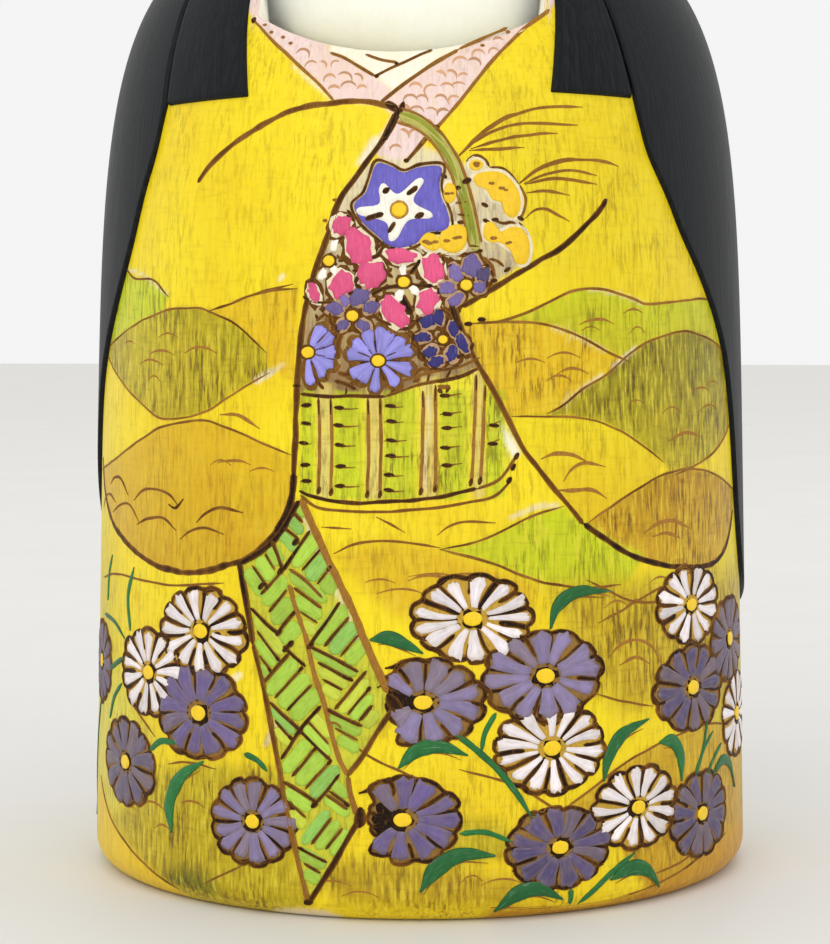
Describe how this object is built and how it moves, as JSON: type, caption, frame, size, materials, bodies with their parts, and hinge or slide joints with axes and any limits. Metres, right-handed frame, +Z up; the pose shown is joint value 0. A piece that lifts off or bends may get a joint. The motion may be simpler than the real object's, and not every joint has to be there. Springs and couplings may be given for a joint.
{
  "type": "kokeshi doll",
  "caption": "Turned wooden doll: broad tapered body with a domed shoulder and carved hair relief, a scooped neckline, and a round head that turns on a hidden dowel. Stands on a flat base.",
  "frame": {"origin": "centre of the flat base, on the surface the doll stands on", "axes": "+Z up along the turning axis; the doll faces -Y; +X is at the doll's left arm"},
  "size_m": [0.1006, 0.1007, 0.204],
  "materials": {
    "stained_wood": "satin lacquer over stain, pyrography lines and painted flowers",
    "painted_wood": "satin lacquer over cream ground and black hair",
    "plain_wood": "bare turned wood"
  },
  "bodies": {
    "body": {"body": "stained_wood", "neck_dowel": "plain_wood"},
    "head": {"head": "painted_wood"}
  },
  "joints": [
    {"name": "head_turn", "type": "hinge", "parent": "body", "child": "head", "pos_m": [0, 0, 0.1176], "axis": [0, 0, 1], "continuous": true}
  ]
}
